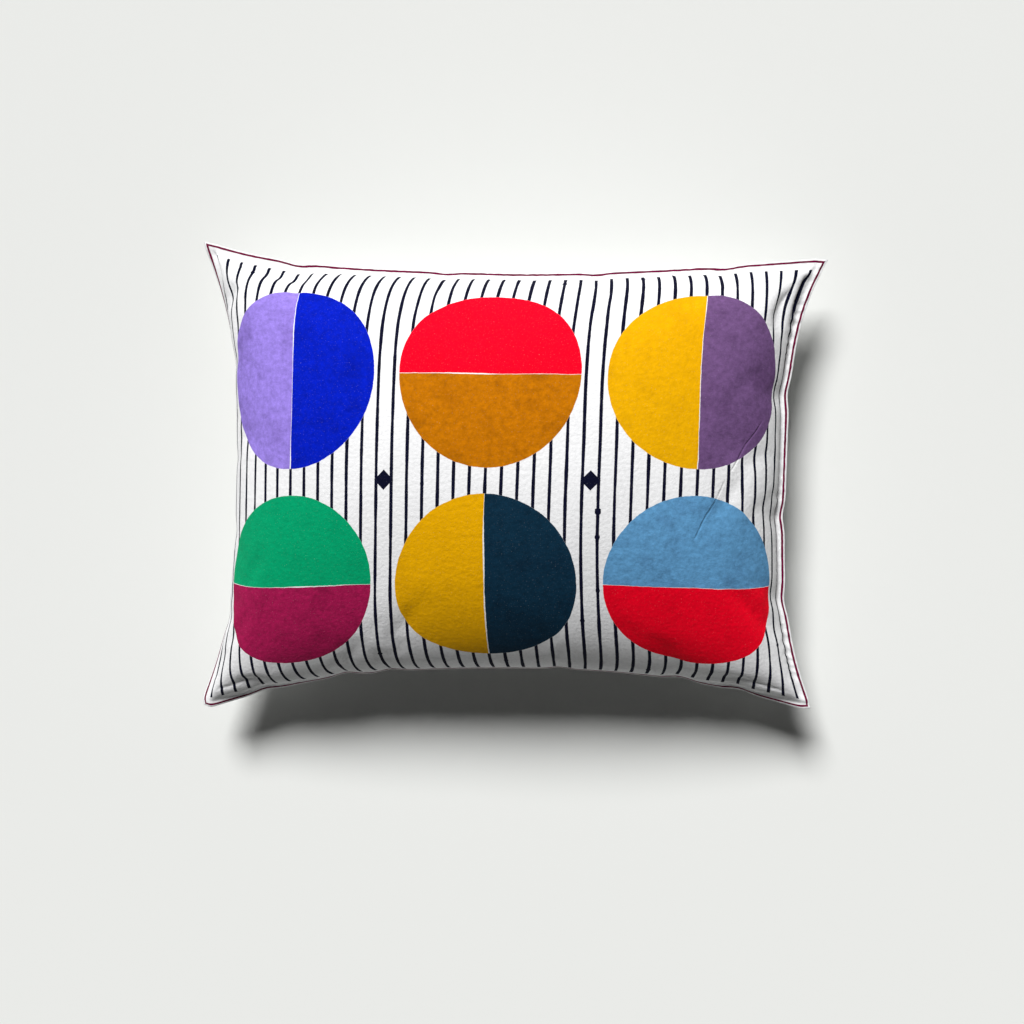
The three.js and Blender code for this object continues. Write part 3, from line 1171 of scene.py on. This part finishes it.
    def from_seam(self, place: Points) -> Points:
        """How far each flat panel place is from the nearest seam."""
        return np.minimum(self.width / 2 - np.abs(place[:, 0]), self.height / 2 - np.abs(place[:, 1]))

    def body_share(self, place: Points, half: float) -> tuple[Points, Points, float]:
        """Splits places on the flat panel into their share of the filled body and of its flat edge.

        Args:
            place: Places along one side of the panel, from its middle.
            half: Half that side's length.

        Returns:
            The share of the body from -1 to 1, the share of the edge past it, and the body's own share.
        """
        body = half - self.edge_width
        share = np.minimum(1.0, np.abs(place) / body) * np.sign(place)
        edge = np.maximum(0.0, np.abs(place) - body) * np.sign(place)
        return share, edge / half, body / half

    def hang(self, across: Points, low: str, high: str) -> Points:
        """How steeply the flat edge hangs down, in radians, at places across the panel from side to side."""
        return np.radians(np.where(across < 0, SIDES[low].turn, SIDES[high].turn))

    def grid_lines(self, cells: int, size: float) -> Points:
        """Places the grid lines of a panel, closer together towards its edges.

        Args:
            cells: How many cells the panel has.
            size: How long it is.

        Returns:
            The place of each line, from the panel's middle.
        """
        even = np.linspace(-1.0, 1.0, cells + 1)
        crowded = even * (1 + self.crowding) - self.crowding * even**CROWDING_POWER * np.sign(even)
        return crowded * size / 2

    def filled_place(self, place: Points, panel: Panel) -> Points:
        """Where the filling holds each point of a flat panel.

        Args:
            place: Flat panel places, a row each.
            panel: Which panel they are on.

        Returns:
            A row of x, y and z for each place, with the seam's middle at z = 0.
        """
        x, y = place[:, 0], place[:, 1]
        u, edge_x, body_x = self.body_share(x, self.width / 2)
        v, edge_y, body_y = self.body_share(y, self.height / 2)
        along_x, along_y = 1 - u**TIP_FADE, 1 - v**TIP_FADE
        across = u * (1 + self.roll_across * (1 - u**ROLL_POWER) * along_y)
        up = v * (1 + self.roll_up * along_y * along_x)
        rise = np.maximum(0.0, (1 - across**2) * (1 - up**2)) ** self.crown_power
        turn_x = self.hang(x, "left", "right") * along_y
        turn_y = self.hang(y, "bottom", "top") * along_x
        plan_x = across * body_x + edge_x * np.cos(turn_x)
        plan_y = up * body_y + edge_y * np.cos(turn_y)
        plan = self.plan_point(plan_x, plan_y)
        drop = np.abs(edge_x) * self.width / 2 * np.sin(turn_x)
        drop += np.abs(edge_y) * self.height / 2 * np.sin(turn_y)

        from_seam = self.from_seam(place)
        crown = self.back_crown * rise
        pulled = sum(pucker.depth_at(place) for pucker in PUCKERS)
        if panel is Panel.FRONT:
            lump = sum(row.rise * bump(np.hypot(x - row.x, y - row.y), row.reach) for row in LUMPS)
            crown = (self.front_crown + lump) * rise
            pulled += smooth_step(from_seam, 0, SEAM_CLEAR) * sum(fold.fold_at(place) for fold in FRONT_FOLDS)
        crown = crown + self.edge_lift * smooth_step(from_seam, 0, self.lift_reach)

        flatness = np.sqrt(rise)
        outward = np.stack([across**OUTWARD_POWER, up**OUTWARD_POWER], 1)
        outward /= np.maximum(np.linalg.norm(outward, axis=1), NO_WAY)[:, None]
        plan -= outward * ((1 - flatness) * pulled)[:, None]
        from_tip = np.hypot(self.width / 2 - np.abs(x), self.height / 2 - np.abs(y))
        blunt = bump(from_tip, TIP_REACH) * self.from_tips(across, up, "blunt") * math.sqrt(0.5)
        plan -= np.stack([np.sign(x) * blunt, np.sign(y) * blunt], 1)
        droop = self.from_tips(across, up, "droop") + drop
        return np.column_stack([plan, panel.value * (crown - flatness * pulled) - droop])

    def bake_place(self, place: Vector, area: tuple[float, float, float, float]) -> tuple[float, float]:
        """Where a place on the flat panel lies in its area of the bake map."""
        left, low, wide, high = area
        return left + (place.x / self.width + 0.5) * wide, low + (place.y / self.height + 0.5) * high

    def sew(self) -> bpy.types.Object:
        """Cuts the two panels and sews them edge to edge, still flat.

        Returns:
            The cover, with its panel map and the flat place of each point in an attribute.
        """
        sewn = bmesh.new()
        panel_map, bake_map = (sewn.loops.layers.uv.new(name) for name in (PANEL_MAP, BAKE_MAP))
        place = sewn.verts.layers.float_vector.new(PANEL_PLACE)
        lines_x, lines_y = self.grid_lines(self.columns, self.width), self.grid_lines(self.rows, self.height)
        bmesh.ops.create_grid(sewn, x_segments=self.columns, y_segments=self.rows, size=0.5)
        for vert in sewn.verts:
            vert.co.x = lines_x[round((vert.co.x + 0.5) * self.columns)]
            vert.co.y = lines_y[round((vert.co.y + 0.5) * self.rows)]
        for face in sewn.faces:
            for loop in face.loops:
                loop[panel_map].uv = loop.vert.co.xy
                loop[bake_map].uv = self.bake_place(loop.vert.co.xy, BAKE_FRONT)
        for vert in sewn.verts:
            edge_on = max(abs(vert.co.x) * 2 / self.width, abs(vert.co.y) * 2 / self.height)
            vert[place] = (vert.co.x, vert.co.y, 0.0 if edge_on > 1 - SAME else 1.0)

        copied = bmesh.ops.duplicate(sewn, geom=sewn.verts[:] + sewn.edges[:] + sewn.faces[:])["geom"]
        back_faces = [item for item in copied if isinstance(item, bmesh.types.BMFace)]
        bmesh.ops.reverse_faces(sewn, faces=back_faces)
        for face in back_faces:
            face.material_index = 1
            for loop in face.loops:
                loop[bake_map].uv = self.bake_place(loop.vert.co.xy, BAKE_BACK)
        for vert in (item for item in copied if isinstance(item, bmesh.types.BMVert)):
            vert[place].z *= Panel.BACK.value
        seam = [vert for vert in sewn.verts if vert[place].z == 0.0]
        bmesh.ops.remove_doubles(sewn, verts=seam, dist=SAME)
        for face in sewn.faces:
            face.smooth = True

        mesh = bpy.data.meshes.new("cushion_cover")
        sewn.to_mesh(mesh)
        sewn.free()
        cover = bpy.data.objects.new("cushion_cover", mesh)
        bpy.context.scene.collection.objects.link(cover)
        return cover

    def filled_shape(self, pattern: Points) -> Points:
        """The shape that the filling gives the cover.

        Args:
            pattern: For each point its flat place, and 1 on the front, -1 on the back or 0 on the seam.

        Returns:
            A row of x, y and z for each point.
        """
        front = self.filled_place(pattern, Panel.FRONT)
        back = self.filled_place(pattern, Panel.BACK)
        return np.where(pattern[:, 2:] >= 0, front, back)

    def pull_tight(self, cover: bpy.types.Object, pattern: Points, filled: Points) -> Points:
        """Lets the cloth settle over its filling, against the size that it was cut to.

        Args:
            cover: The sewn cover.
            pattern: The flat place of each point.
            filled: The shape that it starts in.

        Returns:
            Where the cloth settles.
        """
        write_points(cover.data, filled)
        cover.shape_key_add(name="filled")
        flat = cover.shape_key_add(name="flat")
        cut = pattern * (self.spare, self.spare, 0.0)
        flat.data.foreach_set("co", cut.ravel())

        cloth = cover.modifiers.new("filling", "CLOTH")
        settings = cloth.settings
        settings.rest_shape_key = flat
        settings.quality = self.quality
        settings.mass = self.cell_mass
        settings.tension_stiffness = self.stretch_stiffness
        settings.compression_stiffness = self.stretch_stiffness
        settings.shear_stiffness = self.shear_stiffness
        settings.bending_stiffness = self.bending_stiffness
        settings.tension_damping = self.stretch_damping
        settings.compression_damping = self.stretch_damping
        settings.shear_damping = self.stretch_damping
        settings.bending_damping = self.bending_damping
        settings.air_damping = self.air_damping
        settings.use_pressure = True
        settings.uniform_pressure_force = self.pressure
        settings.effector_weights.gravity = 0.0
        cloth.collision_settings.use_collision = False
        cloth.point_cache.frame_start = 1
        cloth.point_cache.frame_end = self.frames
        scene = bpy.context.scene
        for step in range(1, self.frames + 1):
            scene.frame_set(step)
        settled = read_points(cover.evaluated_get(bpy.context.evaluated_depsgraph_get()).data)
        cover.modifiers.remove(cloth)
        cover.shape_key_clear()
        scene.frame_set(1)
        return settled

    def grid_of(self, pattern: Points, panel: Panel) -> Points:
        """Finds the points of a panel in its grid.

        Args:
            pattern: The flat place of each point.
            panel: The panel.

        Returns:
            The number of each point, by its row and column from the bottom left.
        """
        mine = np.flatnonzero(pattern[:, 2] * panel.value >= 0)
        column, row = (
            np.searchsorted(self.grid_lines(cells, size) - SAME, pattern[mine, axis]) - 1
            for axis, (cells, size) in enumerate(((self.columns, self.width), (self.rows, self.height)))
        )
        grid = np.zeros((self.rows + 1, self.columns + 1), dtype=int)
        grid[row, column] = mine
        return grid

    def keep_form(self, pattern: Points, filled: Points, settled: Points) -> Points:
        """Keeps the filled form and lays the folds that the cloth found over it.

        Args:
            pattern: The flat place of each point.
            filled: The form that the filling gives.
            settled: Where the cloth settled.

        Returns:
            The filled form with the cloth's own folds.
        """
        folds = np.zeros_like(filled)
        for panel in Panel:
            grid = self.grid_of(pattern, panel)
            moved = (settled - filled)[grid]
            folds[grid] = moved - blurred(moved, self.drift_reach)
        length = np.linalg.norm(folds, axis=1)
        capped = self.fold_share * self.most_moved * np.tanh(length / self.most_moved)
        # The seam allowance inside holds the edge flat.
        from_seam = self.from_seam(pattern)
        capped *= smooth_step(from_seam, self.edge_width * FOLDS_FROM, self.edge_width * FOLDS_FULL)
        return filled + folds * (capped / np.maximum(length, SAME))[:, None]

    def seam_ripples(self, place: Points) -> Points:
        """The small ripples along the seams, as uneven as hand-fed stitching leaves them.

        Args:
            place: Flat panel places, a row each.

        Returns:
            How far each place stands out.
        """
        x, y = place[:, 0], place[:, 1]
        total = np.zeros_like(x)
        level = (x + TOP_SHIFT * (y > 0), self.height / 2 - np.abs(y), self.hang(y, "bottom", "top"))
        upright = (y + RIGHT_SHIFT * (x > 0), self.width / 2 - np.abs(x), self.hang(x, "left", "right"))
        for along, from_side, hang in (level, upright):
            turns = along / self.ripple_pitch + waves(along, RIPPLE_STRAY)
            strength = 0.55 + waves(along, RIPPLE_STRENGTH)
            reach = self.ripple_reach * (0.75 + waves(along, RIPPLE_SPREAD))
            held = smooth_step(from_side, 0.0, self.edge_width / 2)
            held *= 1.0 - smooth_step(from_side / reach, 0.3, 1.0)
            # Where the flat edge hangs down it is pulled straight, and the ripples start past it.
            steady = np.cos(hang) ** 3
            past_edge = smooth_step(from_side, self.edge_width, self.edge_width * RIPPLES_FULL)
            held *= steady + (1.0 - steady) * past_edge
            total += strength * held * np.sin(2 * math.pi * turns)
        return self.ripple / 2 * total

    def crumple(self, cover: bpy.types.Object) -> None:
        """Lays the finest forms in the cover: the seam's ripples and the creases at the tips.

        Args:
            cover: The refined cover.
        """
        mesh = cover.data
        place = read_attribute(mesh, PANEL_PLACE)
        from_seam = self.from_seam(place)
        # In the flat edge, both panels wave the same way. Past it, each of them ripples by itself.
        back_way = 2.0 * smooth_step(from_seam, self.edge_width, self.edge_width * 2) - 1.0
        out = self.seam_ripples(place) * np.where(place[:, 2] < 0, back_way, 1.0)
        sunk = sum(crease.depth_at(place) for crease in CREASES)
        out -= np.where(place[:, 2] > 0, sunk, 0.0) * smooth_step(from_seam, 0.0, self.edge_width / 2)
        normals = np.zeros(len(mesh.vertices) * 3)
        mesh.vertex_normals.foreach_get("vector", normals)
        write_points(mesh, read_points(mesh) + normals.reshape(-1, 3) * out[:, None])

    def refine(self, cover: bpy.types.Object) -> None:
        """Gives the cover one subdivision, so that its finest folds have points to lie in.

        Args:
            cover: The cover, which gets a finer mesh.
        """
        smoother = cover.modifiers.new("finer", "SUBSURF")
        smoother.levels = smoother.render_levels = 1
        evaluated = cover.evaluated_get(bpy.context.evaluated_depsgraph_get())
        finer = bpy.data.meshes.new_from_object(evaluated)
        cover.modifiers.remove(smoother)
        coarse = cover.data
        cover.data = finer
        bpy.data.meshes.remove(coarse)

    def rest(self, points: Points) -> Points:
        """Lays the cushion on its back, in the CAD cushion's place.

        Args:
            points: The filled cover's points.

        Returns:
            The points with the lowest part of the back pressed flat at z = 0.
        """
        low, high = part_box(CAD_NODE)
        middle = (points.min(0) + points.max(0)) / 2
        points = points - (middle[0], middle[1], points[:, 2].min() + self.pressed_flat)
        points += ((low.x + high.x) / 2, (low.y + high.y) / 2, 0.0)
        height = points[:, 2]
        near = np.maximum(self.floor_ease - np.abs(height), 0.0) / self.floor_ease
        points[:, 2] = np.maximum(height, 0.0) + near**2 * self.floor_ease / 4
        return points

    def build(self) -> bpy.types.Object:
        """Makes the finished cover.

        Returns:
            The cover, in place and declared.
        """
        cover = self.sew()
        pattern = read_attribute(cover.data, PANEL_PLACE)
        filled = self.filled_shape(pattern)
        settled = self.pull_tight(cover, pattern, filled)
        shape = self.keep_form(pattern, filled, settled)
        write_points(cover.data, shape)
        self.refine(cover)
        self.crumple(cover)
        write_points(cover.data, self.rest(read_points(cover.data)))
        panel = (self.width, self.height)
        cover.data.materials.append(CottonCanvas().dress("printed_cotton", panel, DiscPrint(), PRESSED_LINES))
        cover.data.materials.append(CottonCanvas().dress("plain_cotton", panel))
        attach(cover, BODY)
        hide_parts(CAD_NODE)
        return cover


@dataclass(frozen=True)
class Viewpoint:
    """The photograph's view of the printed face.

    Attributes:
        aim: What the middle of the picture shows.
        distance: How far the camera stands from it.
        field: How wide a stretch the picture takes in there.
        towards_top: How far the camera leans to the cushion's top side, in degrees.
        towards_right: How far it leans to the right side, in degrees.
    """

    aim: tuple[float, float, float] = (0.009, -0.031, 0.070)
    distance: float = 1.45
    field: float = 0.965
    towards_top: float = 4.0
    towards_right: float = 8.0

    def build(self) -> bpy.types.Object:
        """Makes the camera, with the cushion's top side at the top of the picture.

        Returns:
            The camera.
        """
        lens = bpy.data.cameras.new("camera")
        lens.lens = lens.sensor_width * self.distance / self.field
        lens.clip_start, lens.clip_end = 0.05, 50.0
        camera = bpy.data.objects.new("camera", lens)
        bpy.context.scene.collection.objects.link(camera)
        lean_right = math.tan(math.radians(self.towards_right))
        lean_up = math.tan(math.radians(self.towards_top))
        back = Vector((lean_right, lean_up, 1.0)).normalized()
        right = Vector((0, 1, 0)).cross(back).normalized()
        turn = Matrix((right, back.cross(right), back)).transposed()
        camera.rotation_euler = turn.to_euler()
        camera.location = Vector(self.aim) + back * self.distance
        bpy.context.scene.camera = camera
        return camera


@dataclass(frozen=True)
class Studio:
    """A plain pale floor under soft studio light.

    Attributes:
        floor_half: Half the width of the floor.
        floor_colour: The colour of the floor, in linear shares.
        floor_roughness: The roughness of the floor.
        key_from: Where the main light comes from, as a direction.
        key_strength: How strong the main light is.
        key_softness: How wide the main light looks, in degrees.
        fill_strength: How strong the light from all round is.
    """

    floor_half: float = 6.0
    floor_colour: Colour = (0.728, 0.736, 0.715)
    floor_roughness: float = 0.95
    key_from: tuple[float, float, float] = (-0.150, 0.690, 0.708)
    key_strength: float = 4.8
    key_softness: float = 22.0
    fill_strength: float = 0.04

    def build_floor(self) -> bpy.types.Object:
        """Lays the floor.

        Returns:
            The floor.
        """
        sheet = bmesh.new()
        bmesh.ops.create_grid(sheet, x_segments=1, y_segments=1, size=self.floor_half)
        mesh = bpy.data.meshes.new("floor")
        sheet.to_mesh(mesh)
        sheet.free()
        floor = bpy.data.objects.new("floor", mesh)
        bpy.context.scene.collection.objects.link(floor)
        paint = bpy.data.materials.new("pale_floor")
        paint.use_nodes = True
        surface = paint.node_tree.nodes["Principled BSDF"]
        surface.inputs["Base Color"].default_value = (*self.floor_colour, 1)
        surface.inputs["Roughness"].default_value = self.floor_roughness
        mesh.materials.append(paint)
        return floor

    def build_lights(self) -> bpy.types.Object:
        """Sets the main light and the light from all round.

        Returns:
            The main light.
        """
        lamp = bpy.data.lights.new("key_light", "SUN")
        lamp.energy = self.key_strength
        lamp.angle = math.radians(self.key_softness)
        key = bpy.data.objects.new("key_light", lamp)
        key.rotation_euler = Vector(self.key_from).to_track_quat("Z", "Y").to_euler()
        bpy.context.scene.collection.objects.link(key)
        world = bpy.data.worlds.new("studio")
        world.use_nodes = True
        around = world.node_tree.nodes["Background"]
        around.inputs["Color"].default_value = (1.0, 1.0, 1.0, 1)
        around.inputs["Strength"].default_value = self.fill_strength
        bpy.context.scene.world = world
        bpy.context.scene.view_settings.view_transform = "Standard"
        return key


def main() -> None:
    """Builds the camera, the cushion, the floor and the lights, and reports each of them."""
    logging.basicConfig(level=logging.INFO, format="%(name)s: %(message)s")
    Viewpoint().build()
    LOG.info("camera set")
    cover = Cover().build()
    LOG.info("cover made with %d faces", len(cover.data.polygons))
    studio = Studio()
    studio.build_floor()
    studio.build_lights()
    LOG.info("floor and lights set")


if __name__ == "__main__":
    main()
